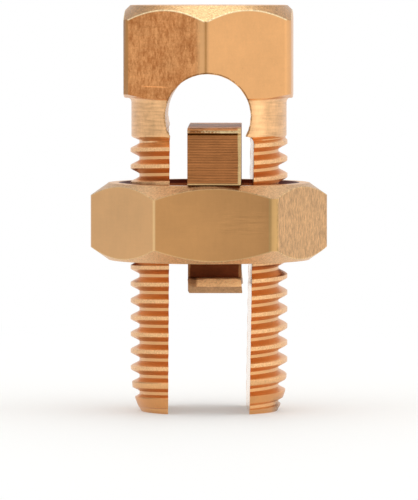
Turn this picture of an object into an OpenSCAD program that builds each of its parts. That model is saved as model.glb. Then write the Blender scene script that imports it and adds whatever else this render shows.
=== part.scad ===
// Split bolt connector: a slotted bolt with a wire seat bored through under its head,
// a hex nut, and a pressure bar that the nut carries up and down the slot.
// The bolt stands on its leg ends at z = 0. The slot and the wire seat run along Y.

/* [Bolt] */
// Height from the leg ends to the top of the head
bolt_height = 31; // [28:0.5:40]
// Diameter over the thread
shank_d = 12; // [11:0.1:12.4]
// How much the thread's lead-in narrows the leg on each side
lead_taper = 0.3; // [0.1:0.02:0.6]
// Height at which the lead-in reaches the full thread
lead_h = 3.5; // [2:0.1:5]
// How much the end bevel takes off each side
end_bevel = 0.46; // [0.1:0.02:0.6]
// Height of the end bevel
end_bevel_h = 1; // [0.4:0.1:1.4]

/* [Bolt head] */
// Width across the flats
head_flats = 12.7; // [12.6:0.1:15]
// How much is rounded off each corner
head_corner_trim = 0.1; // [0.05:0.01:0.4]
// Height of the head
head_h = 7.05; // [6.5:0.05:9]
// How far the flat on top stands in from the flats
head_top_inset = 0.3; // [0.1:0.05:1]
// Angle of the top bevel below level
head_bevel_angle = 46; // [20:1:60]
// Angle of the head about the bolt's axis
head_turn = -3.3; // [-30:0.1:30]
// Bevel under the corners of the head
head_under_bevel = 0.2; // [0.05:0.05:0.5]
// Fillet between head and shank
neck_fillet = 0.35; // [0.1:0.05:0.4]

/* [Thread] */
// Rise of the thread in one turn
thread_pitch = 1.28; // [1:0.01:1.75]
// Depth of the thread
thread_depth = 0.7; // [0.3:0.05:0.8]
// Share of the pitch that is flat at the crest
thread_crest = 0.22; // [0.05:0.01:0.3]
// Share of the pitch that is flat at the root
thread_root = 0.18; // [0.05:0.01:0.25]
// Height of the lowest crest above the leg ends
first_crest_z = 0.95; // [0.9:0.05:1.3]

/* [Wire seat and slot] */
// Diameter of the wire seat
seat_d = 6.46; // [5.5:0.02:7]
// Angle of the wire seat about the bolt's axis
seat_turn = -2.3; // [-5:0.1:5]
// Height of the middle of the wire seat above the end of the slot
seat_rise = 1.6; // [1:0.1:2.2]
// How far the wire seat was drilled off the slot's middle
seat_shift = 0; // [-0.4:0.02:0.4]
// Width of the slot between the legs
slot_w = 6.3; // [5.6:0.05:6.6]
// Length of the slot and of the thread from the leg ends
slot_length = 21; // [20:0.1:21.5]

/* [Nut] */
// Width across the flats
nut_flats = 15.9; // [15.6:0.1:18]
// How much is rounded off each corner
nut_corner_trim = 0.12; // [0.05:0.01:0.5]
// Height of the nut
nut_h = 5.9; // [5:0.1:7]
// Height of the nut's lower face above the leg ends
nut_z = 11.56; // [10:0.02:11.6]
// How far the flat on its end faces stands in from the flats
nut_face_inset = 0.3; // [0.1:0.05:0.5]
// Angle of its corner bevels below level
nut_bevel_angle = 35; // [15:1:45]
// How far the countersinks widen the bore on each side
countersink = 0.77; // [0.3:0.01:1]
// Radial gap between the thread and the nut
thread_gap = 0.08; // [0.05:0.01:0.1]
// Angle of the nut about the bolt's axis
nut_turn = 1.7; // [-30:0.1:30]

/* [Pressure bar] */
// Play between the bar and each side of the slot
bar_play = 1.135; // [0.9:0.005:1.4]
// How far each end of the block stands in from the nut's flats
block_inset = 0.2; // [0.1:0.05:1]
// Height of the block
block_h = 4.3; // [3:0.05:4.4]
// Gap between the ends of the web and the nut's bore
web_gap = 1.68; // [1.5:0.02:2.5]
// How far each lip reaches out past the nut's bore
lip_reach = 0.72; // [0.3:0.02:1]
// Height of the upright edge of the lips
lip_edge_h = 0.475; // [0.2:0.025:0.6]
// Height of the lips' slanted shoulder
lip_rise = 0.57; // [0.3:0.01:0.8]
// How far the web shows under the nut
web_drop = 1.165; // [0.6:0.005:1.3]
// How far the slanted shoulder stands back from the lip's tip
lip_slant = 0.5; // [0.2:0.05:0.65]
// Width of the notch that spread the lips
notch_w = 3.2; // [1:0.1:4.5]
// Depth of that notch
notch_depth = 1.1; // [0.4:0.1:1.6]
// Bevel on the block's edges
block_bevel = 0.25; // [0.1:0.05:0.4]
// Gap between the block and the nut's top face
block_gap = 0.05; // [0.02:0.01:0.2]
// How far the bar stands off the slot's middle
bar_shift = 0.46; // [-0.6:0.02:0.6]
// Angle of the bar about the bolt's axis
bar_turn = -1.85; // [-2.5:0.05:2.5]

/* [Hidden] */
$fn = 96;

past = 1; // how far a cut runs past the face that it opens
seam = 0.05; // how far the neck's fillet runs up into the head

shank_r = shank_d / 2;
lead_r = shank_r - lead_taper;
end_r = lead_r - end_bevel;

head_z = bolt_height - head_h;
head_corner_r = head_flats / 2 / cos(30) - head_corner_trim;
head_top_r = head_flats / 2 - head_top_inset;
seat_z = slot_length + seat_rise;

nut_bore_r = shank_r + thread_gap;
nut_top = nut_z + nut_h;
nut_corner_r = nut_flats / 2 / cos(30) - nut_corner_trim;
nut_face_r = nut_flats / 2 - nut_face_inset;
countersink_r = nut_bore_r + countersink;

bar_w = slot_w - 2 * bar_play;
block_length = nut_flats - 2 * block_inset;
web_length = 2 * (nut_bore_r - web_gap);
lip_length = 2 * (nut_bore_r + lip_reach);
block_z = nut_top + block_gap;
block_top = block_z + block_h;
lip_top = nut_z - web_drop;
lip_edge_z = lip_top - lip_rise;
bar_z = lip_edge_z - lip_edge_h;

// Radius of the leg at height z, before the thread is cut: bevel, lead-in, then full size
function leg_r(z) =
    z < end_bevel_h ? end_r + end_bevel * z / end_bevel_h :
    z < lead_h ? lead_r + lead_taper * (z - end_bevel_h) / (lead_h - end_bevel_h) :
    shank_r;

// The thread is drawn as rings, one to a turn
root_r = shank_r - thread_depth;
half_root = thread_pitch * thread_root / 2;
half_crest = thread_pitch * thread_crest / 2;
crests = floor((slot_length - thread_pitch / 2 - first_crest_z) / thread_pitch);

// Outline of one ring, from the root below its crest to the root above it
function crest_points(z) = [
    [root_r, z - thread_pitch / 2 + half_root],
    [leg_r(z - half_crest), z - half_crest],
    [leg_r(z + half_crest), z + half_crest],
    [root_r, z + thread_pitch / 2 - half_root]
];

function fillet_points(steps) = [
    for (i = [0:steps])
        let (a = 90 * i / steps)
        [shank_r + neck_fillet * (1 - cos(a)), head_z + seam - neck_fillet * (1 - sin(a))]
];

// Half section of the bolt under its head, from the leg ends up into the head
function shank_outline() = concat(
    [[0, 0], [end_r, 0]],
    [for (i = [0:crests]) each crest_points(first_crest_z + i * thread_pitch)],
    [[root_r, slot_length - half_root], [shank_r, slot_length + half_root]],
    fillet_points(4),
    [[shank_r + neck_fillet, head_z + past], [0, head_z + past]]
);

// Upright hexagonal bar, a corner towards -Y
module hex_bar(flats, z0, h) {
    translate([0, 0, z0])
        rotate(30)
            cylinder(d = flats / cos(30), h = h, $fn = 6);
}

module head() {
    drop = (head_corner_r - head_top_r) * tan(head_bevel_angle);
    intersection() {
        rotate(head_turn) hex_bar(head_flats, head_z, head_h);
        rotate_extrude()
            polygon([
                [0, head_z], [head_flats / 2, head_z], [head_corner_r, head_z + head_under_bevel],
                [head_corner_r, bolt_height - drop], [head_top_r, bolt_height], [0, bolt_height]
            ]);
    }
}

module wire_seat() {
    translate([seat_shift, 0, seat_z])
        rotate([90, 0, seat_turn])
            cylinder(d = seat_d, h = 2 * (head_corner_r + past), center = true);
}

module slot() {
    length = shank_d + 2 * past;
    translate([-slot_w / 2, -length / 2, -past])
        cube([slot_w, length, slot_length + past]);
}

module split_bolt() {
    color("peru")
        difference() {
            union() {
                head();
                rotate_extrude() polygon(shank_outline());
            }
            wire_seat();
            slot();
        }
}

// Half section of the nut: bevelled outside, countersunk bore inside
module nut_outline() {
    drop = (nut_corner_r - nut_face_r) * tan(nut_bevel_angle);
    polygon([
        [nut_bore_r, nut_z + countersink], [countersink_r, nut_z], [nut_face_r, nut_z],
        [nut_corner_r, nut_z + drop], [nut_corner_r, nut_top - drop], [nut_face_r, nut_top],
        [countersink_r, nut_top], [nut_bore_r, nut_top - countersink]
    ]);
}

module hex_nut() {
    color("burlywood")
        intersection() {
            rotate(30 + nut_turn) hex_bar(nut_flats, nut_z, nut_h);
            rotate_extrude() nut_outline();
        }
}

// Side view of the bar, drawn with Y to the right and Z up: block, web, lips and notch
module bar_side() {
    block = block_length / 2;
    web = web_length / 2;
    lip = lip_length / 2;
    polygon([
        [-block, block_z], [-block, block_top - block_bevel], [-block + block_bevel, block_top],
        [block - block_bevel, block_top], [block, block_top - block_bevel], [block, block_z],
        [web, block_z], [web, lip_top], [lip - lip_slant, lip_top], [lip, lip_edge_z], [lip, bar_z],
        [notch_w / 2, bar_z], [0, bar_z + notch_depth], [-notch_w / 2, bar_z],
        [-lip, bar_z], [-lip, lip_edge_z], [lip_slant - lip, lip_top], [-web, lip_top], [-web, block_z]
    ]);
}

// Rectangle with its corners cut off at 45 degrees
module bevelled_box(x, y, bevel) {
    polygon([
        for (side = [[1, 1], [-1, 1], [-1, -1], [1, -1]])
            let (
                along_y = [side[0] * x / 2, side[1] * (y / 2 - bevel)],
                along_x = [side[0] * (x / 2 - bevel), side[1] * y / 2]
            )
            each side[0] * side[1] > 0 ? [along_y, along_x] : [along_x, along_y]
    ]);
}

module pressure_bar() {
    color("sienna")
        translate([bar_shift, 0, 0])
            rotate(bar_turn)
                intersection() {
                    translate([-bar_w / 2, 0, 0])
                        rotate([90, 0, 90])
                            linear_extrude(bar_w) bar_side();
                    translate([0, 0, bar_z - past])
                        linear_extrude(block_top - bar_z + 2 * past)
                            bevelled_box(bar_w, block_length, block_bevel);
                }
}

split_bolt();
hex_nut();
pressure_bar();
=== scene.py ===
import bpy, bmesh, math
from mathutils import Matrix, Vector, noise


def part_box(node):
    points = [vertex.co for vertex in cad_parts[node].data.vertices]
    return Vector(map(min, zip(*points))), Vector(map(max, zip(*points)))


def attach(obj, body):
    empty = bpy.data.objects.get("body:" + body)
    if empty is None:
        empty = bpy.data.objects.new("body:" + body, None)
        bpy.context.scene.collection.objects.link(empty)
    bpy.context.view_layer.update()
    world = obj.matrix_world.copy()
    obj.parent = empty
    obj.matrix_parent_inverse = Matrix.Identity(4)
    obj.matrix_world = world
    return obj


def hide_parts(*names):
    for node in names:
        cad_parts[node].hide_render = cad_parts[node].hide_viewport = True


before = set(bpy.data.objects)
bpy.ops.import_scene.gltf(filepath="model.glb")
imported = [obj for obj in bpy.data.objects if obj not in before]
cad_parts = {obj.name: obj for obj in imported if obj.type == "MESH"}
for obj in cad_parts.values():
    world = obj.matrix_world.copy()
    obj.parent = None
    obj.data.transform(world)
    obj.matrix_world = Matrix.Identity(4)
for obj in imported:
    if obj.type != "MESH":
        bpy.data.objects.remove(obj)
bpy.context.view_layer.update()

mm = 0.001
fullTurn = 2 * math.pi


def clearSelection():
    if bpy.context.object and bpy.context.object.mode != "OBJECT":
        bpy.ops.object.mode_set(mode="OBJECT")
    bpy.ops.object.select_all(action="DESELECT")


def activate(piece):
    clearSelection()
    piece.select_set(True)
    bpy.context.view_layer.objects.active = piece


def keepAs(name):  # names the primitive just added and puts its place into its mesh
    piece = bpy.context.object
    piece.name = piece.data.name = name
    bpy.ops.object.transform_apply(location=True, rotation=True, scale=True)
    return piece


def addCylinder(name, radius, low, high, sides=160, turn=0):
    clearSelection()
    bpy.ops.mesh.primitive_cylinder_add(vertices=sides, radius=radius * mm, depth=(high - low) * mm,
                                        location=(0, 0, (low + high) / 2 * mm), rotation=(0, 0, turn))
    return keepAs(name)


def addBlock(name, low, high):
    clearSelection()
    middle = [(a + b) / 2 * mm for a, b in zip(low, high)]
    bpy.ops.mesh.primitive_cube_add(size=1, location=middle)
    bpy.context.object.scale = [(b - a) * mm for a, b in zip(low, high)]
    return keepAs(name)


def pick(piece, kind, test):  # stays in edit mode with only the parts that pass the test selected
    if piece.mode != "EDIT":
        activate(piece)
        bpy.ops.object.mode_set(mode="EDIT")
    bpy.ops.mesh.select_mode(type=kind)
    bpy.ops.mesh.select_all(action="DESELECT")
    mesh = bmesh.from_edit_mesh(piece.data)
    for part in {"VERT": mesh.verts, "EDGE": mesh.edges, "FACE": mesh.faces}[kind]:
        part.select_set(bool(test(part)))
    mesh.select_flush_mode()
    bmesh.update_edit_mesh(piece.data)


def everything(part):
    return True


def extrude(x=0, y=0, z=0):
    bpy.ops.mesh.extrude_region_move(TRANSFORM_OT_translate={"value": (x * mm, y * mm, z * mm)})


def sliceAt(piece, height, keep=None, axis=(0, 0, 1)):  # keep is "below", "above" or None for both
    pick(piece, "VERT", everything)
    bpy.ops.mesh.bisect(plane_co=Vector(axis) * height * mm, plane_no=axis, use_fill=keep is not None,
                        clear_inner=keep == "above", clear_outer=keep == "below", threshold=1e-7)


def finishMesh(piece, merge=0.0005):
    pick(piece, "VERT", everything)
    bpy.ops.mesh.remove_doubles(threshold=merge * mm)
    bpy.ops.mesh.select_all(action="SELECT")
    bpy.ops.mesh.normals_make_consistent(inside=False)
    bpy.ops.object.mode_set(mode="OBJECT")


def applyModifier(piece, kind, **settings):
    activate(piece)
    modifier = piece.modifiers.new(kind.title(), kind)
    for key, value in settings.items():
        setattr(modifier, key, value)
    bpy.ops.object.modifier_apply(modifier=modifier.name)


def combine(piece, other, how):
    applyModifier(piece, "BOOLEAN", object=other, operation=how, solver="EXACT")
    bpy.data.objects.remove(other)


def softenEdges(piece, width, angle=30, segments=2):
    applyModifier(piece, "BEVEL", width=width * mm, segments=segments, limit_method="ANGLE",
                  angle_limit=math.radians(angle), use_clamp_overlap=True)


def smoothShade(piece, angle=32):
    activate(piece)
    bpy.ops.object.shade_smooth_by_angle(angle=math.radians(angle))
    applyModifier(piece, "WEIGHTED_NORMAL", mode="FACE_AREA", weight=100, keep_sharp=True)


def ease(value):  # 0 to 1 with soft ends
    value = min(1, max(0, value))
    return value * value * (3 - 2 * value)


thread = {
    "pitch": 1.28,
    "depth": 0.68,
    "crest": 0.22,      # share of the pitch
    "root": 0.18,
    "topCrest": 19.94,  # height of a crest on the -X side
    "steps": 96,        # round one turn
    "flankSteps": 4,
}


def threadProfile():  # (share of the pitch, share of the depth) from root to root
    half = thread["crest"] / 2
    foot = 0.5 - thread["root"] / 2
    flank = []
    for i in range(thread["flankSteps"] + 1):
        t = i / thread["flankSteps"]
        flank.append((half + (foot - half) * t, 0.65 * t + 0.35 * ease(t)))
    rising = [(-u, d) for u, d in reversed(flank)]
    return [(-0.5, 1)] + rising + flank + [(0.5, 1)]


def threadRod(name, crestRadius, low, high):
    pitch = thread["pitch"]
    points = [(crestRadius - thread["depth"] * d, u * pitch) for u, d in threadProfile()]
    crestZ = thread["topCrest"] - pitch / 2  # a crest at +X
    crestZ -= pitch * math.ceil((crestZ - low) / pitch + 2)
    turns = math.ceil((high - crestZ) / pitch) + 2
    clearSelection()
    size = 0.1  # of a square that is cut down to the corner where the profile starts
    startX, startZ = points[0][0], crestZ + points[0][1]
    middle = Vector((startX + size / 2, size / 2, startZ)) * mm
    bpy.ops.mesh.primitive_plane_add(size=size * mm, location=middle)
    rod = keepAs(name)
    pick(rod, "VERT", lambda v: v.co.x > startX * mm + 1e-6 or v.co.y > 1e-6)
    bpy.ops.mesh.delete(type="VERT")
    bpy.ops.mesh.select_all(action="SELECT")
    for (r0, z0), (r1, z1) in zip(points, points[1:]):
        extrude(x=r1 - r0, z=z1 - z0)
    applyModifier(rod, "SCREW", axis="Z", angle=fullTurn, screw_offset=pitch * mm, iterations=turns,
                  steps=thread["steps"], render_steps=thread["steps"])
    finishMesh(rod)
    return rod


def reshapeRadius(piece, newRadius):  # newRadius(radius, place) gives each vertex its distance from the axis
    clearSelection()
    for vertex in piece.data.vertices:
        x, y, z = vertex.co / mm
        radius = math.hypot(x, y)
        if radius > 0.5:
            share = newRadius(radius, Vector((x, y, z))) / radius
            vertex.co.x *= share
            vertex.co.y *= share


bolt = {
    "height": 31, "neckZ": 23.95, "threadEnd": 21, "crestRadius": 6, "plainRadius": 5.93,
    "headFlats": 12.76, "headTurn": -3.3, "headTop": 5.98, "headBevelAngle": 43,
    "headUnder": 6.55, "headUnderAngle": 25, "neckFillet": 0.35,
    "seatRadius": 3.23, "seatZ": 22.6, "seatTurn": -2.3,
    "slotTop": (-3.07, 3.32),     # the slot's sides at its end
    "slotMouth": (-3.2, 2.97),    # and between the leg ends
    "slotRound": 0.5,
    "leftRise": 0.9,              # how much higher the slot ends on its left
    "burr": 0.05,
}
# how wide the legs are at each height near their ends
legEnds = [(0, 5.2), (0.35, 5.42), (0.8, 5.6), (1.5, 5.83), (2.2, 5.9), (3.5, 6)]
# how the head's corners are rounded, by the corner's angle before the head is turned: (width, segments)
headCorners = {270: (0.3, 6), 210: (0.44, 1), 150: (0.45, 6), 90: (0.3, 6), 30: (0.5, 6), 330: (0.64, 6)}


def hexPrism(name, flats, low, high, turn, roundings):
    piece = addCylinder(name, flats / 2 / math.cos(math.pi / 6), low, high, sides=6)
    for angle, (width, segments) in roundings.items():
        away = Vector((math.cos(math.radians(angle)), math.sin(math.radians(angle)), 0))

        def isCorner(edge):
            a, b = edge.verts
            upright = abs(a.co.x - b.co.x) < 1e-6 and abs(a.co.y - b.co.y) < 1e-6
            return upright and Vector((a.co.x, a.co.y, 0)).normalized().dot(away) > 0.999

        pick(piece, "EDGE", isCorner)
        bpy.ops.mesh.bevel(offset=width * mm, segments=segments, profile=0.5, affect="EDGES")
    clearSelection()
    piece.rotation_euler.z = math.radians(turn)
    activate(piece)
    bpy.ops.object.transform_apply(location=True, rotation=True, scale=True)
    return piece


def addCones(piece, low, high, wide, top=(), bottom=()):
    # draws the end faces of a cylinder out into cones, through each (radius, height)
    for steps, height, side in ((top, high, 1), (bottom, low, -1)):
        radius = wide
        pick(piece, "FACE", lambda f: f.normal.z * side > 0.9)
        for nextRadius, nextHeight in steps:
            extrude(z=nextHeight - height)
            share = nextRadius / radius
            bpy.ops.transform.resize(value=(share, share, 1), center_override=(0, 0, 0))
            radius, height = nextRadius, nextHeight
    bpy.ops.object.mode_set(mode="OBJECT")


def rimSteps(radius, height, slope, side):  # a cone's last points, rounded over onto a flat end
    soft = 0.14
    drop = side * soft * slope
    return [(radius + soft, height - drop), (radius + soft * 0.3, height - drop * 0.18),
            (radius - soft * 0.7, height)]


def legLimit(z):
    for (z0, r0), (z1, r1) in zip(legEnds, legEnds[1:]):
        if z < z1:
            return r0 + (r1 - r0) * max(0, z - z0) / (z1 - z0)
    return bolt["crestRadius"]


def makeLegs():
    crest = bolt["crestRadius"]
    runOut = bolt["threadEnd"]
    legs = threadRod("splitBolt", crest, 0, runOut + 0.6)

    def legRadius(radius, place):  # the thread fades out below the plain shank, and its crests are torn
        fade = ease((place.z - runOut + 0.35) / 0.45)
        radius += (bolt["plainRadius"] - radius) * fade
        if radius > crest - 0.1:
            torn = noise.noise(Vector((place.x, place.y, place.z * 2)) * 2.3) * 0.03
            radius -= abs(torn) * (1 - fade)
        return min(radius, legLimit(place.z))

    reshapeRadius(legs, legRadius)
    sliceAt(legs, 0, "above")
    sliceAt(legs, runOut + 0.3, "below")
    finishMesh(legs)
    # plain shank, drawn up from the end of the thread and flared into the head
    top = bolt["neckZ"] - bolt["neckFillet"]
    rise = top - runOut - 0.3
    rings = 22
    radius = bolt["plainRadius"]
    pick(legs, "FACE", lambda f: f.normal.z > 0.9 and f.calc_center_median().z > runOut * mm)
    steps = [(rise / rings, bolt["plainRadius"] - 0.012 * abs(noise.noise(Vector((i * 1.7, 3, 5)))))
             for i in range(rings)]
    for i in range(1, 6):
        angle, last = math.radians(90 * i / 5), math.radians(90 * (i - 1) / 5)
        steps.append((bolt["neckFillet"] * (math.sin(angle) - math.sin(last)),
                      bolt["plainRadius"] + bolt["neckFillet"] * (1 - math.cos(angle))))
    for height, target in steps:
        extrude(z=height)
        bpy.ops.transform.resize(value=(target / radius, target / radius, 1), center_override=(0, 0, 0))
        radius = target
    extrude(z=0.3)  # into the head
    bpy.ops.object.mode_set(mode="OBJECT")
    return legs


def makeHead():
    low, high = bolt["neckZ"], bolt["height"]
    head = hexPrism("head", bolt["headFlats"], low, high, bolt["headTurn"], headCorners)
    wide = 8
    slope = math.tan(math.radians(bolt["headBevelAngle"]))
    under = math.tan(math.radians(bolt["headUnderAngle"]))
    blankLow = low + (wide - bolt["headUnder"]) * under
    blankHigh = high - (wide - bolt["headTop"]) * slope
    blank = addCylinder("headBlank", wide, blankLow, blankHigh)
    addCones(blank, blankLow, blankHigh, wide, top=rimSteps(bolt["headTop"], high, slope, 1),
             bottom=[(bolt["headUnder"], low)])
    combine(head, blank, "INTERSECT")
    finishMesh(head)
    return head


def slotSaw():  # leans a little and widens upwards, as the slot was sawn
    (left, right), (leftLow, rightLow) = bolt["slotTop"], bolt["slotMouth"]
    length = bolt["threadEnd"]
    saw = addBlock("slotSaw", (left, -8, -1), (right, 8, length))
    past = 1 + 1 / length
    for side, shift in ((-1, (leftLow - left) * past), (1, (rightLow - right) * past)):
        pick(saw, "VERT", lambda v: v.co.x * side > 0 and v.co.z < 0)
        bpy.ops.transform.translate(value=(shift * mm, 0, 0))
    pick(saw, "VERT", lambda v: v.co.x < 0 and v.co.z > 0)
    bpy.ops.transform.translate(value=(0, 0, bolt["leftRise"] * mm))
    pick(saw, "EDGE", lambda e: all(v.co.z > 0 for v in e.verts) and
         abs(e.verts[0].co.x - e.verts[1].co.x) < 1e-6)
    bpy.ops.mesh.bevel(offset=bolt["slotRound"] * mm, segments=4, profile=0.5, affect="EDGES")
    bpy.ops.object.mode_set(mode="OBJECT")
    return saw


def raiseBurrs(piece):  # ragged rims where the seat breaks through the shank and the head
    turn = Matrix.Rotation(math.radians(-bolt["seatTurn"]), 3, "Z")
    centre = Vector((0, 0, bolt["seatZ"]))
    for vertex in piece.data.vertices:
        place = turn @ (vertex.co / mm - centre)
        distance = math.hypot(place.x, place.z)
        if abs(distance - bolt["seatRadius"]) > 0.01 or place.z < -1.55:
            continue
        low = ease((0.6 - place.z) / 1.2)  # roughest at the throat
        ragged = noise.noise(vertex.co / mm * 1.9) + 0.6 * noise.noise(vertex.co / mm * 5.3)
        share = 1 + bolt["burr"] * ragged * (0.25 + low) / bolt["seatRadius"]
        place.x *= share
        place.z *= share
        vertex.co = (turn.inverted() @ place + centre) * mm


def makeBolt():
    piece = makeLegs()
    combine(piece, makeHead(), "UNION")
    clearSelection()
    bpy.ops.mesh.primitive_cylinder_add(vertices=128, radius=bolt["seatRadius"] * mm, depth=20 * mm,
                                        location=(0, 0, bolt["seatZ"] * mm),
                                        rotation=(math.pi / 2, 0, math.radians(bolt["seatTurn"])))
    combine(piece, keepAs("seatDrill"), "DIFFERENCE")
    combine(piece, slotSaw(), "DIFFERENCE")
    finishMesh(piece)
    raiseBurrs(piece)
    smoothShade(piece)
    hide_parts("split_bolt")
    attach(piece, "bolt")
    print("bolt ready", len(piece.data.polygons))
    return piece


nut = {
    "flats": 15.896, "turn": 31.7,
    "face": 7.65,        # radius of the flat ends
    "bevelAngle": 35,
    "sinkRadius": 6.9,
    "gap": 0.08,         # between its thread and the bolt's
}
nutCorners = {270: (0.5, 6), 330: (0.46, 6), 30: (0.46, 6), 90: (0.3, 6), 150: (0.46, 6), 210: (0.2, 4)}


def makeNut():
    lowCorner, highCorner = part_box("hex_nut")
    low, high = lowCorner.z / mm, highCorner.z / mm
    piece = hexPrism("hexNut", nut["flats"], low, high, nut["turn"], nutCorners)
    wide = 10
    drop = (wide - nut["face"]) * math.tan(math.radians(nut["bevelAngle"]))
    blank = addCylinder("nutBlank", wide, low + drop, high - drop)
    slope = math.tan(math.radians(nut["bevelAngle"]))
    addCones(blank, low + drop, high - drop, wide, top=rimSteps(nut["face"], high, slope, 1),
             bottom=rimSteps(nut["face"], low, slope, -1))
    combine(piece, blank, "INTERSECT")
    finishMesh(piece)
    tap = threadRod("nutTap", bolt["crestRadius"] + nut["gap"], low - 1, high + 1)
    sliceAt(tap, low - 0.6, "above")
    sliceAt(tap, high + 0.6, "below")
    finishMesh(tap)
    combine(piece, tap, "DIFFERENCE")
    over, core = 0.5, 4.6  # the sinks' cones run from outside each end down to inside the bore
    for end, out in ((low, -1), (high, 1)):
        start = end + out * over
        ends = sorted((start, end + out * 2 * over))
        sink = addCylinder("sink", nut["sinkRadius"] + over, *ends)
        tip = (core, end - out * (nut["sinkRadius"] - core))
        addCones(sink, start, start, nut["sinkRadius"] + over, **{"top" if out < 0 else "bottom": [tip]})
        combine(piece, sink, "DIFFERENCE")
    finishMesh(piece)
    smoothShade(piece)
    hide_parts("hex_nut")
    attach(piece, "nut")
    print("nut ready", len(piece.data.polygons))
    return piece


bar = {
    "width": 4.03,
    "block": 15.5, "web": 8.8, "lip": 13.6,  # lengths from end to end
    "blockLow": 17.51, "lipTop": 10.395,
    "lipEdge": 9.825, "slant": 0.35,         # where the lips' shoulders end, and how far they reach in
    "notchWidth": 3.2, "notchDepth": 1.1,
    "shift": 0.46, "turn": -1.85,
    "topBevel": 0.3, "sideBevel": 0.22,
    "creaseZ": 21.34, "creaseDepth": 0.06,
    "toolMark": 0.195, "toolDepth": 0.02,
    "ragged": 0.1, "raggedStep": 0.2,
}


def makeBar():
    lowCorner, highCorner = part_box("pressure_bar")
    low, high = lowCorner.z / mm, highCorner.z / mm
    half, web, block, lip = bar["width"] / 2, bar["web"] / 2, bar["block"] / 2, bar["lip"] / 2
    piece = addBlock("pressureBar", (-half, -web, bar["lipTop"]), (half, web, bar["blockLow"]))
    pick(piece, "FACE", lambda f: f.normal.z > 0.9)
    extrude(z=high - bar["blockLow"])
    pick(piece, "FACE", lambda f: f.normal.z < -0.9)
    extrude(z=low - bar["lipTop"])
    for side in (-1, 1):
        def atEnd(vertex):
            return vertex.co.y * side > (block - 0.1) * mm

        def upright(edge):
            a, b = edge.verts
            return abs(a.co.x - b.co.x) < 1e-6 and abs(a.co.y - b.co.y) < 1e-6

        pick(piece, "FACE", lambda f: f.normal.y * side > 0.9 and
             f.calc_center_median().z > bar["blockLow"] * mm)
        extrude(y=side * (block - web))
        pick(piece, "FACE", lambda f: f.normal.y * side > 0.9 and
             f.calc_center_median().z < bar["lipTop"] * mm)
        extrude(y=side * (lip - bar["slant"] - web))
        extrude(y=side * bar["slant"])
        pick(piece, "VERT", lambda v: v.co.y * side > (lip - 0.1) * mm and
             abs(v.co.z - bar["lipTop"] * mm) < 1e-5)
        bpy.ops.transform.translate(value=(0, 0, (bar["lipEdge"] - bar["lipTop"]) * mm))
        pick(piece, "EDGE", lambda e: all(atEnd(v) and v.co.z > (high - 0.1) * mm for v in e.verts))
        bpy.ops.mesh.bevel(offset=bar["topBevel"] * mm, segments=4, profile=0.5, affect="EDGES")
        pick(piece, "EDGE", lambda e: upright(e) and all(atEnd(v) and v.co.x > 0 for v in e.verts))
        bpy.ops.mesh.bevel(offset=bar["sideBevel"] * mm, segments=3, profile=0.5, affect="EDGES")
    for y in (-bar["notchWidth"] / 2, 0, bar["notchWidth"] / 2):
        sliceAt(piece, y, axis=(0, 1, 0))
    pick(piece, "VERT", lambda v: abs(v.co.y) < 1e-6 and v.co.z < (low + 0.01) * mm)
    bpy.ops.transform.translate(value=(0, 0, bar["notchDepth"] * mm))
    softenEdges(piece, 0.06, angle=40)
    markBlock(piece, bar["blockLow"], high, block)
    tearLips(piece, lip, half)
    activate(piece)
    piece.rotation_euler.z = math.radians(bar["turn"])
    piece.location.x = bar["shift"] * mm
    bpy.ops.object.transform_apply(location=True, rotation=True, scale=True)
    smoothShade(piece, 25)
    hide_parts("pressure_bar")
    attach(piece, "bar")
    print("bar ready", len(piece.data.polygons))
    return piece


def markBlock(piece, low, high, block):  # milling ridges across both ends of the block
    step = bar["toolMark"] / 2
    for i in range(1, int((high - low - bar["topBevel"]) / step)):
        sliceAt(piece, low + i * step)
    bpy.ops.object.mode_set(mode="OBJECT")
    for vertex in piece.data.vertices:
        row = (vertex.co.z / mm - low) / step
        if abs(vertex.co.y) > (block - 0.02) * mm and abs(row - round(row)) < 0.01 and round(row) % 2:
            depth = bar["toolDepth"] * (1 + 0.6 * noise.noise(Vector((0, vertex.co.y, row * 1.37))))
            vertex.co.y -= math.copysign(depth * mm, vertex.co.y)
        if abs(vertex.co.y) > (block - 0.05) * mm and abs(vertex.co.z / mm - bar["creaseZ"]) < 0.04:
            vertex.co.y -= math.copysign(bar["creaseDepth"] * mm, vertex.co.y)


def tearLips(piece, lip, half):  # the lips were bent out cold, so their shoulders are torn
    rows = int(2 * half / bar["raggedStep"])
    for i in range(1, rows):
        pick(piece, "FACE", lambda f: f.calc_center_median().z < (bar["lipTop"] + 0.1) * mm and
             abs(f.calc_center_median().y) > (bar["web"] / 2 + 0.01) * mm)
        bpy.ops.mesh.bisect(plane_co=((i * bar["raggedStep"] - half) * mm, 0, 0), plane_no=(1, 0, 0),
                            threshold=1e-7)
    bpy.ops.object.mode_set(mode="OBJECT")
    for vertex in piece.data.vertices:
        x, y, z = vertex.co / mm
        if abs(y) < bar["web"] / 2 + 0.3 or z > bar["lipTop"] + 0.1:
            continue
        wave = noise.noise(Vector((x * 1.3, y * 0.9, 4.1))) + 0.5 * noise.noise(Vector((x * 3.7, y, 1.7)))
        if z > bar["lipEdge"] - 0.05:
            vertex.co.z += wave * bar["ragged"] * mm
        vertex.co.x += 0.1 * (bar["lipTop"] - z) * mm
        vertex.co.y -= math.copysign(abs(wave) * 0.05 * mm, y)


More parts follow.
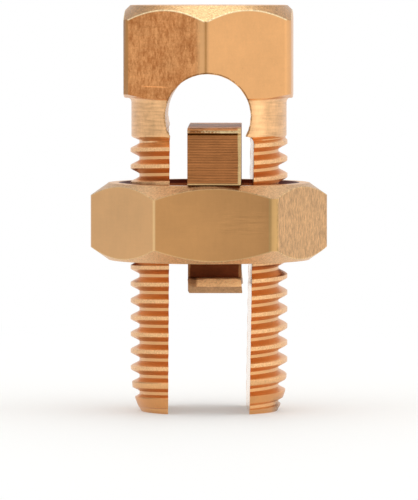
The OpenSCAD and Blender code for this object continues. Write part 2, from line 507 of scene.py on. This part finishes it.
class Wire:
    # one socket of a material's nodes, with arithmetic on it
    def __init__(self, tree, socket):
        self.tree = tree
        self.socket = socket

    def make(self, kind, settings=None, values=None, output=0):
        node = self.tree.nodes.new(kind)
        for key, value in (settings or {}).items():
            if key == "stops":
                self.fillRamp(node.color_ramp, value)
            else:
                setattr(node, key, value)
        for key, value in (values or {}).items():
            if isinstance(value, Wire):
                self.tree.links.new(value.socket, node.inputs[key])
            else:
                node.inputs[key].default_value = value
        return Wire(self.tree, node.outputs[output])

    def fillRamp(self, ramp, stops):
        while len(ramp.elements) < len(stops):
            ramp.elements.new(0.5)
        for element, (position, level) in zip(ramp.elements, stops):
            element.position = position
            element.color = (level, level, level, 1)

    def maths(self, operation, first, second):
        return self.make("ShaderNodeMath", {"operation": operation}, {0: first, 1: second})

    def __add__(self, other):
        return self.maths("ADD", self, other)

    def __radd__(self, other):
        return self.maths("ADD", other, self)

    def __sub__(self, other):
        return self.maths("SUBTRACT", self, other)

    def __rsub__(self, other):
        return self.maths("SUBTRACT", other, self)

    def __mul__(self, other):
        return self.maths("MULTIPLY", self, other)

    def __rmul__(self, other):
        return self.maths("MULTIPLY", other, self)

    def __truediv__(self, other):
        return self.maths("DIVIDE", self, other)

    def __pow__(self, other):
        return self.maths("POWER", self, other)


def between(value, low, high):  # soft step from 0 to 1, or from 1 to 0 where high is the smaller
    settings = {"interpolation_type": "SMOOTHSTEP"}
    if high < low:
        return value.make("ShaderNodeMapRange", settings,
                          {"Value": value, "From Min": high, "From Max": low, "To Min": 1, "To Max": 0})
    return value.make("ShaderNodeMapRange", settings, {"Value": value, "From Min": low, "From Max": high})


def within(value, low, high, soft):
    return between(value, low - soft, low + soft) * between(value, high + soft, high - soft)


def along(place, axis):
    return place.make("ShaderNodeVectorMath", {"operation": "DOT_PRODUCT"}, {0: place, 1: axis}, 1)


def grain(place, stretch, detail=3, roughness=0.6, shift=(0, 0, 0)):  # noise about 0, most of it within 0.3
    spread = place.make("ShaderNodeVectorMath", {"operation": "MULTIPLY_ADD"},
                        {0: place, 1: stretch, 2: shift})
    cloud = place.make("ShaderNodeTexNoise", {},
                       {"Vector": spread, "Scale": 1, "Detail": detail, "Roughness": roughness})
    return cloud - 0.5


def blend(factor, first, second):
    return factor.make("ShaderNodeMix", {"data_type": "RGBA"}, {0: factor, 6: first, 7: second}, 2)


def brighten(colour, amount):
    return colour.make("ShaderNodeVectorMath", {"operation": "SCALE"}, {0: colour, "Scale": amount})


def startMetal(name):
    material = bpy.data.materials.new(name)
    material.use_nodes = True
    tree = material.node_tree
    shader = tree.nodes["Principled BSDF"]
    shader.inputs["Metallic"].default_value = 1
    coordinates = tree.nodes.new("ShaderNodeTexCoord")
    place = Wire(tree, coordinates.outputs["Object"])
    place = place.make("ShaderNodeVectorMath", {"operation": "SCALE"}, {0: place, "Scale": 1 / mm})
    return material, shader, place


def finishMetal(material, shader, colour, roughness, height, depth, metallic=None):
    bump = colour.make("ShaderNodeBump", {}, {"Height": height, "Distance": depth * mm, "Strength": 1})
    tree = material.node_tree
    if metallic:
        tree.links.new(metallic.socket, shader.inputs["Metallic"])
        shader.inputs["Specular IOR Level"].default_value = 0.05
    tree.links.new(colour.socket, shader.inputs["Base Color"])
    tree.links.new(roughness.socket, shader.inputs["Roughness"])
    tree.links.new(bump.socket, shader.inputs["Normal"])
    return material


def hexReach(place, turn):  # how far a place lies out towards the flats of a hexagon
    reach = None
    for angle in (0, 60, 120):
        way = (math.cos(math.radians(angle + turn)), math.sin(math.radians(angle + turn)), 0)
        part = place.maths("ABSOLUTE", along(place, way), 0)
        reach = reach.maths("MAXIMUM", reach, part) if reach else part
    return reach


def towards(place, angle):
    return along(place, (math.cos(math.radians(angle)), math.sin(math.radians(angle)), 0))


def onFlat(place, angle, flat):  # the side of a hexagon that faces this way
    return between(towards(place, angle), flat - 0.06, flat - 0.01)


def nearCorner(place, angle, flat, start, end):  # how far inside the sharp corner it starts and ends
    corner = flat / math.cos(math.pi / 6)
    return between(towards(place, angle), corner - start, corner - end)


boltLook = {
    # left and right are shaded and lit copies of one metal: painted shade on the head's left face, painted
    # light on its right face
    "plain": (0.78, 0.42, 0.18, 1), "left": (0.76, 0.36, 0.14, 1), "right": (0.81, 0.425, 0.175, 1),
    # crest and flank are lit and shaded copies of the thread's metal: painted highlight on the crests,
    # painted shade on the flanks
    "crest": (0.86, 0.50, 0.24, 1), "flank": (0.76, 0.37, 0.14, 1), "neck": (0.84, 0.49, 0.235, 1),
    # bevel and bevelSideShade paint the head's top chamfer: a painted highlight in front and painted shade
    # on its sides
    "cut": (0.92, 0.66, 0.44, 1), "lowDark": (0.20, 0.12, 0.07, 1), "bevel": (0.77, 0.50, 0.25, 1),
    # corner is painted shade on the head's flat left-front corner
    "bevelSideShade": (0.52, 0.29, 0.13, 1), "rimHighlight": (0.92, 0.70, 0.41, 1), "corner": (0.50, 0.24, 0.085, 1),
    "frontShade": (0.60, 0.30, 0.105, 1), "bandHighlight": (0.76, 0.41, 0.175, 1), "leftDark": (0.47, 0.17, 0.05, 1),
    "burrShadow": (0.20, 0.09, 0.03, 1),
}


def boltMetal():
    material, shader, place = startMetal("boltMetal")
    x, y, z = along(place, (1, 0, 0)), along(place, (0, 1, 0)), along(place, (0, 0, 1))
    radius = (x * x + y * y) ** 0.5
    cloud = grain(place, (0.35, 0.35, 0.35), 4)
    fine = grain(place, (7, 7, 7), 4, 0.7)
    brushed = grain(place, (4, 4, 1.3), 5, 0.75)
    patches = grain(place, (0.9, 0.9, 0.7), 4, 0.6, (5, 2, 0))
    flecks = grain(place, (5, 5, 2.2), 4, 0.8, (3, 1, 7))
    level = grain(place, (0.5, 0.5, 6), 3, 0.6)
    flat = bolt["headFlats"] / 2
    turn = bolt["headTurn"]
    reach = hexReach(place, turn)
    slope = math.tan(math.radians(bolt["headBevelAngle"]))
    underCone = (bolt["height"] - z) / slope + bolt["headTop"] - radius
    onHead = between(z, bolt["neckZ"] - 0.02, bolt["neckZ"] + 0.02)
    runOut = between(x, 1, -2.5) * 0.65
    onThread = between(z + runOut, bolt["threadEnd"] + 0.1, bolt["threadEnd"] - 0.15)
    onNeck = (1 - onHead) * (1 - onThread)
    underTop = between(z, bolt["height"] - 0.01, bolt["height"] - 0.03)
    onBevel = between(underCone, 0.05, 0.02) * onHead * underTop
    onShadedLeft = onFlat(place, 240 + turn, flat) * onHead * (1 - between(x, -0.9, -0.7))
    onLitRight = onFlat(place, 300 + turn, flat) * onHead
    onCornerLighting = nearCorner(place, 210 + turn, flat, 0.235, 0.225) * onHead
    onRimHighlight = between(underCone, 0.1, 0.05) * between(reach, flat - 0.06, flat - 0.03) * onHead
    nearFront = between(y, -6.5, -6.7) * onHead
    highlightBand = nearFront * between(x, -1.3, -0.7) * between(x, -0.49, -0.53)
    shadeLine = nearFront * within(x, -0.49, -0.34, 0.03)
    atLitCrest = between(radius, 5.86, 5.96) * onThread
    onShadedFlank = within(radius, 5.42, 5.84, 0.05) * onThread
    inSlot = between(radius, 5.18, 5.05) * onThread
    # painted shade on the thread's flanks and painted highlight on its crests
    colour = blend(onShadedFlank, boltLook["plain"], boltLook["flank"])
    colour = blend(atLitCrest, colour, boltLook["crest"])
    colour = blend(onNeck, colour, boltLook["neck"])
    mottle = between(brushed * 0.9 + flecks + patches * 0.8 + fine * 0.7, -0.36, 0.36)
    # painted shade on the head's left face, with its brushed grain mottled in it; painted light on the right
    # face below
    colour = blend(onShadedLeft, colour, blend(mottle, boltLook["leftDark"], boltLook["left"]))
    colour = blend(onLitRight, colour, boltLook["right"])
    # painted highlight beside the head's rounded front corner, and a painted shade line on the corner itself
    colour = blend(highlightBand, colour, boltLook["bandHighlight"])
    colour = blend(shadeLine, colour, boltLook["frontShade"])
    # painted shade on the head's flat left-front corner
    colour = blend(onCornerLighting, colour, boltLook["corner"])
    # painted highlight on the front of the head's top chamfer, fading to painted shade towards its sides
    sideways = between((x * x) ** 0.5 + cloud * 2, 1.6, 4.4)
    bevelLightAndShade = blend(sideways, boltLook["bevel"], boltLook["bevelSideShade"])
    colour = blend(onBevel, colour, bevelLightAndShade)
    # painted highlight along the arcs where the head's chamfer meets its faces
    colour = blend(onRimHighlight, colour, boltLook["rimHighlight"])
    # fresh-sawn slot walls, coloured paler as a painted reflection of the white round them
    colour = blend(inSlot, colour, boltLook["cut"])
    # painted shadow: dark, broken lines round both rims of the seat, outside it and on its wall, where its
    # burrs cast shade
    across = towards(place, bolt["seatTurn"])
    fromSeat = (across * across + (z - bolt["seatZ"]) * (z - bolt["seatZ"])) ** 0.5 - bolt["seatRadius"]
    ragged = within(fromSeat + fine * 0.08, 0.02, 0.12, 0.02)
    ragged = ragged * (1 - onThread) * between(patches + fine, -0.15, 0.08) * 0.8
    wallEndShadow = between(fromSeat, 0.03, 0.01) * between(radius, 5.72, 5.8)
    wallEndShadow = wallEndShadow * (1 - onHead) * between(patches + fine, -0.2, 0) * 0.7
    ragged = ragged.maths("MAXIMUM", ragged, wallEndShadow)
    colour = blend(ragged, colour, boltLook["burrShadow"])
    # darker patches low down on the outside of the right leg
    lowDarkPatches = between(z, 1.6, 0.4) * between(x, 4.6, 5.2) * between(fine, -0.12, 0.05) * 0.8
    colour = blend(lowDarkPatches, colour, boltLook["lowDark"])
    scratch = onShadedLeft * within(z + x * 0.02, 24.72, 24.8, 0.03) * within(x, -5, -3.5, 0.3)
    streaks = brushed * (0.12 + onShadedLeft * 0.3) + level * (0.05 + onNeck * 0.7 + onShadedLeft * 0.3)
    sparkle = fine * (0.15 + atLitCrest * 1.3 + onBevel * 2.2) + flecks * (onShadedLeft * 0.3 + onNeck * 0.3)
    # painted highlight in a band on the front of the neck to the right, painted shade towards its left, with
    # blotchy tone
    facing = between(y, -1, -3) * onNeck
    neckSheenAndShade = facing * (within(x, 3.2, 4.1, 0.3) * 0.2 - between(x, -3.2, -4.2) * 0.07 + patches * 0.8)
    tone = 1 + cloud * 0.3 + sparkle + streaks + scratch * 0.6 + neckSheenAndShade
    colour = brighten(colour, tone)
    roughness = 0.33 + fine * 0.2 + cloud * 0.15 - inSlot * 0.2 + onShadedLeft * 0.05
    height = fine * (0.25 + atLitCrest * 1.2 + onBevel * 1.5) + brushed * (0.2 + onShadedLeft * 0.8)
    height = height + level * (0.15 + onNeck * 0.9) + flecks * onShadedLeft * 0.7 - scratch * 0.6
    return finishMetal(material, shader, colour, roughness, height, 0.012)


nutLook = {
    "plain": (0.72, 0.41, 0.18, 1), "frontShade": (0.66, 0.34, 0.13, 1), "grained": (0.65, 0.375, 0.17, 1),
    # sink and bore are painted shade in the nut's countersink and hole
    "sink": (0.10, 0.012, 0.004, 1), "bore": (0.42, 0.125, 0.045, 1), "bevel": (0.76, 0.46, 0.23, 1),
    "rimHighlight": (0.80, 0.52, 0.25, 1), "stripShade": (0.62, 0.37, 0.145, 1),
}


def nutMetal():
    material, shader, place = startMetal("nutMetal")
    x, y, z = along(place, (1, 0, 0)), along(place, (0, 1, 0)), along(place, (0, 0, 1))
    radius = (x * x + y * y) ** 0.5
    cloud = grain(place, (0.3, 0.3, 0.3), 4)
    fine = grain(place, (7, 7, 7), 4, 0.7)
    upright = grain(place, (4.5, 4.5, 0.5), 4, 0.65)
    speckle = grain(place, (5, 5, 1.8), 4, 0.8)
    level = grain(place, (0.55, 0.55, 7), 3, 0.55)
    low, high = [corner.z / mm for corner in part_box("hex_nut")]
    flat = nut["flats"] / 2
    turn = nut["turn"]
    reach = hexReach(place, turn)
    slope = math.tan(math.radians(nut["bevelAngle"]))
    middle = (low + high) / 2
    fromEnd = (high - low) / 2 - z.maths("ABSOLUTE", z - middle, 0)
    underCone = fromEnd / slope + nut["face"] - radius
    onFront = onFlat(place, 240 + turn, flat)
    onGrained = onFlat(place, 300 + turn, flat)
    inside = between(radius, nut["sinkRadius"] + 0.05, nut["sinkRadius"] - 0.02)
    inBoreShade = between(radius, nut["sinkRadius"] - 0.24, nut["sinkRadius"] - 0.36)
    onRimHighlight = between(underCone, 0.1, 0.05) * between(reach, flat - 0.06, flat - 0.03)
    onBevel = between(underCone, 0.05, 0.02) * between(fromEnd, 0.01, 0.03)
    onCornerLighting = nearCorner(place, 210 + turn, flat, 0.09, 0.06)
    onShadedStrip = nearCorner(place, 270 + turn, flat, 0.27, 0.24)
    scored = onFront * within(x, 0.6, 4, 0.5) * within(z, 13.9, 15.5, 0.3)
    # painted shade: the nut's front face is coloured darker than its other faces
    colour = blend(onFront, nutLook["plain"], nutLook["frontShade"])
    colour = blend(onGrained, colour, nutLook["grained"])
    # painted shade on the nut's rounded front-right corner
    colour = blend(onShadedStrip, colour, nutLook["stripShade"])
    colour = blend(onBevel, colour, nutLook["bevel"])
    # painted highlight along the arcs where the chamfers meet the faces, and along the rounded left-front
    # corner
    colour = blend(onRimHighlight.maths("MAXIMUM", onRimHighlight, onCornerLighting), colour, nutLook["rimHighlight"])
    # painted shade: the countersink is coloured near black and made less metallic, and the bore beyond it
    # dark
    colour = blend(inside, colour, nutLook["sink"])
    colour = blend(inBoreShade, colour, nutLook["bore"])
    shade = onFront * (between(x, -5, 5) * 0.14 + between(x, 3, 5) * 0.12)
    tone = 1 + cloud * 0.3 + fine * (0.1 + onBevel * 1.2) + upright * 0.06 + level * (0.05 + scored * 0.35)
    # painted shade: the upper chamfer is made darker than the lower
    tone = tone + speckle * onGrained * 2.2 - shade - onBevel * between(z, middle, middle + 1) * 0.24
    colour = brighten(colour, tone)
    roughness = 0.36 + fine * 0.15 + cloud * 0.12 + onGrained * 0.04
    height = fine * (0.25 + onBevel) + upright * 0.2 + level * (0.15 + scored * 0.8)
    height = height + speckle * onGrained * 1.2
    return finishMetal(material, shader, colour, roughness, height, 0.012, 1 - inside * 0.8)


barLook = {
    "plain": (0.50, 0.25, 0.11, 1), "end": (0.42, 0.165, 0.055, 1), "top": (0.58, 0.27, 0.12, 1),
    # torn is the torn lip shoulders' colour, brightened as painted light
    # web is painted shade on the recessed web, webEdgeHighlight its painted edge highlights
    "web": (0.15, 0.036, 0.012, 1), "webEdgeHighlight": (0.36, 0.15, 0.055, 1), "torn": (1.0, 0.58, 0.27, 1),
    # crease is painted shade in the crease, edge a painted highlight line above it
    "lip": (0.48, 0.265, 0.13, 1), "edge": (0.86, 0.64, 0.34, 1), "creaseShade": (0.16, 0.06, 0.01, 1),
    # side is a painted highlight colour
    "side": (0.68, 0.47, 0.22, 1),
}


def barMetal():
    material, shader, place = startMetal("barMetal")
    turn = math.radians(bar["turn"])
    shift = (bar["shift"], 0, 0)
    moved = place.make("ShaderNodeVectorMath", {"operation": "SUBTRACT"}, {0: place, 1: shift})
    x = along(moved, (math.cos(turn), math.sin(turn), 0))
    y = along(moved, (-math.sin(turn), math.cos(turn), 0))
    z = along(place, (0, 0, 1))
    out = y.maths("ABSOLUTE", y, 0)
    side = x.maths("ABSOLUTE", x, 0)
    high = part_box("pressure_bar")[1].z / mm
    half, block, web = bar["width"] / 2, bar["block"] / 2, bar["web"] / 2
    cloud = grain(place, (0.6, 0.6, 0.6), 4)
    fine = grain(place, (7, 7, 7), 4, 0.7)
    level = grain(place, (0.7, 0.7, 8), 4, 0.7)
    across = grain(place, (0.5, 0.3, 1.1), 4, 0.75)
    turns = (z - bar["blockLow"]) * (fullTurn / bar["toolMark"]) + level * 5
    wave = turns.make("ShaderNodeMath", {"operation": "SINE"}, {0: turns})
    onEnd = between(out, block - 0.12, block - 0.08)
    onTop = between(z, high - 0.14, high - 0.06)
    onEdgeHighlight = between(x + cloud * 0.15, half - 0.27, half - 0.2) * between(out, block - 0.26, block - 0.2)
    onBlock = between(z, bar["blockLow"] - 0.1, bar["blockLow"])
    onShadedWeb = between(z, nutBottom(), nutBottom() - 0.05) * between(out, web + 0.2, web + 0.05)
    onLip = between(z, bar["lipTop"] + 0.25, bar["lipTop"] + 0.1) * between(out, web, web + 0.3)
    slantedLit = between(z, bar["lipEdge"] - 0.02, bar["lipEdge"] + 0.04) * onLip * between(x, -1.45, -1.2)
    overCrease = z - bar["creaseZ"]
    shine = within(overCrease + cloud * 0.1, 0.1, 0.28, 0.03) * onEnd * between(fine + cloud, -0.15, 0.1)
    creaseShadow = within(overCrease, -0.1, 0.08, 0.02) * onEnd
    foot = within(z, bar["blockLow"], bar["blockLow"] + 0.12, 0.02) * onEnd * 0.8
    colour = blend(onEnd, barLook["plain"], barLook["end"])
    colour = blend(onTop, colour, barLook["top"])
    # painted shade on the recessed web under the nut, with painted highlights along its edges
    colour = blend(onShadedWeb, colour, barLook["web"])
    colour = blend(onShadedWeb * between(side + cloud * 0.3, half - 0.22, half - 0.12), colour, barLook["webEdgeHighlight"])
    colour = blend(onLip, colour, barLook["lip"])
    # painted highlight: the lips' torn shoulders are coloured brighter, as if lit; the tearing itself is
    # real
    colour = blend(slantedLit, colour, barLook["torn"])
    # painted shadow in the crease across the block's ends
    colour = blend(creaseShadow, colour, barLook["creaseShade"])
    # painted highlight on the block's rounded right edge and along its foot above the nut
    colour = blend(onEdgeHighlight * onBlock, colour, barLook["side"])
    colour = blend(foot, colour, barLook["side"])
    # painted highlight line just above the crease
    colour = blend(shine, colour, barLook["edge"])
    tone = 1 + cloud * (0.5 + onShadedWeb * 0.9) + fine * (0.35 + onLip * 0.9) + level * (0.5 - onTop * 0.4)
    tone = tone + wave * onEnd * onBlock * (1 - onEdgeHighlight) * 0.2 + across * (onTop * 3 + onShadedWeb)
    colour = brighten(colour, tone)
    dull = slantedLit * 0.75 + onLip * 0.25 + onEdgeHighlight * onBlock * 0.5 + onTop
    roughness = 0.4 + fine * 0.2 + cloud * 0.1 + onLip * 0.12
    height = fine * (0.5 + onLip * 1.5) + level * 0.6 + wave * onEnd * 0.3
    return finishMetal(material, shader, colour, roughness, height, 0.014, 1 - dull * 0.7)


def nutBottom():
    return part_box("hex_nut")[0].z / mm


def dress(piece, material):
    piece.data.materials.clear()
    piece.data.materials.append(material)


studio = {"distance": 430, "height": 33.5, "aim": 12.27, "azimuth": -1.3, "lens": 405.35}
# half the light round the object, by direction: 0 and 1 are behind it, 0.5 is the front
roundLight = [(0, 0.5), (0.06, 0.45), (0.12, 0.24), (0.2, 0.28), (0.28, 0.43), (0.36, 0.46), (0.47, 0.25),
              (0.53, 0.24), (0.6, 0.42), (0.66, 0.53), (0.71, 0.78), (0.77, 0.56), (0.86, 0.42), (0.94, 0.5),
              (1, 0.5)]


def aimAt(thing, target):
    thing.rotation_euler = (target - thing.location).to_track_quat("-Z", "Y").to_euler()


def makeCamera():
    azimuth = math.radians(studio["azimuth"])
    data = bpy.data.cameras.new("camera")
    data.lens = studio["lens"]
    data.clip_start, data.clip_end = 0.01, 50
    camera = bpy.data.objects.new("camera", data)
    bpy.context.scene.collection.objects.link(camera)
    bpy.context.scene.camera = camera
    away = studio["distance"]
    camera.location = Vector((math.sin(azimuth) * away, -math.cos(azimuth) * away, studio["height"])) * mm
    aimAt(camera, Vector((0, 0, studio["aim"] * mm)))


def rays(tree):
    path = tree.nodes.new("ShaderNodeLightPath")
    kinds = ("Is Camera Ray", "Is Glossy Ray", "Is Transmission Ray")
    return [Wire(tree, path.outputs[kind]) for kind in kinds]


def makeFloor():
    clearSelection()
    bpy.ops.mesh.primitive_plane_add(size=8)
    floor = keepAs("floor")
    material = bpy.data.materials.new("floor")
    material.use_nodes = True
    tree = material.node_tree
    shader = tree.nodes["Principled BSDF"]
    shader.inputs["Base Color"].default_value = (0.92, 0.92, 0.9, 1)
    shader.inputs["Roughness"].default_value = 0.7
    shader.inputs["Specular IOR Level"].default_value = 0.2
    place = Wire(tree, tree.nodes.new("ShaderNodeTexCoord").outputs["Object"])
    distance = place.make("ShaderNodeVectorMath", {"operation": "LENGTH"}, {0: place}, 1)
    camera, glossy, through = rays(tree)
    seen = camera.maths("MAXIMUM", camera, glossy.maths("MAXIMUM", glossy, through))
    white = camera.make("ShaderNodeEmission", {}, {"Color": (1, 1, 1, 1), "Strength": 1})
    share = (between(distance, 0.012, 0.1) * 0.8 + 0.2) * seen  # the floor fades into the white round it
    surface = share.make("ShaderNodeMixShader", {}, {0: share, 1: Wire(tree, shader.outputs[0]), 2: white})
    tree.links.new(surface.socket, tree.nodes["Material Output"].inputs["Surface"])
    floor.data.materials.append(material)


def addLamp(name, place, size, power):
    data = bpy.data.lights.new(name, "AREA")
    data.shape = "SQUARE"
    data.size = size
    data.energy = power
    lamp = bpy.data.objects.new(name, data)
    bpy.context.scene.collection.objects.link(lamp)
    lamp.location = place
    aimAt(lamp, Vector((0, 0, 0.015)))


def makeWorld():
    world = bpy.data.worlds.new("studio")
    bpy.context.scene.world = world
    world.use_nodes = True
    tree = world.node_tree
    way = Wire(tree, tree.nodes.new("ShaderNodeTexCoord").outputs["Generated"])
    x, y, z = along(way, (1, 0, 0)), along(way, (0, 1, 0)), along(way, (0, 0, 1))
    angle = x.maths("ARCTAN2", x, 0 - y) / fullTurn + 0.5
    around = angle.make("ShaderNodeValToRGB", {"stops": roundLight}, {"Fac": angle})
    above = between(z, 0.55, 0.85)
    level = around * 2 * (1 - above) + above * 1.3
    camera = rays(tree)[0]
    level = level * (1 - camera) + camera  # plain white where it is seen directly
    background = tree.nodes["Background"]
    background.inputs["Color"].default_value = (1, 1, 1, 1)
    tree.links.new(level.socket, background.inputs["Strength"])


makeCamera()
makeFloor()
makeWorld()
addLamp("overhead", (0, 0.05, 0.8), 0.5, 0.3)
print("studio ready")
dress(makeBolt(), boltMetal())
dress(makeNut(), nutMetal())
dress(makeBar(), barMetal())

bpy.context.scene.view_settings.view_transform = "Standard"
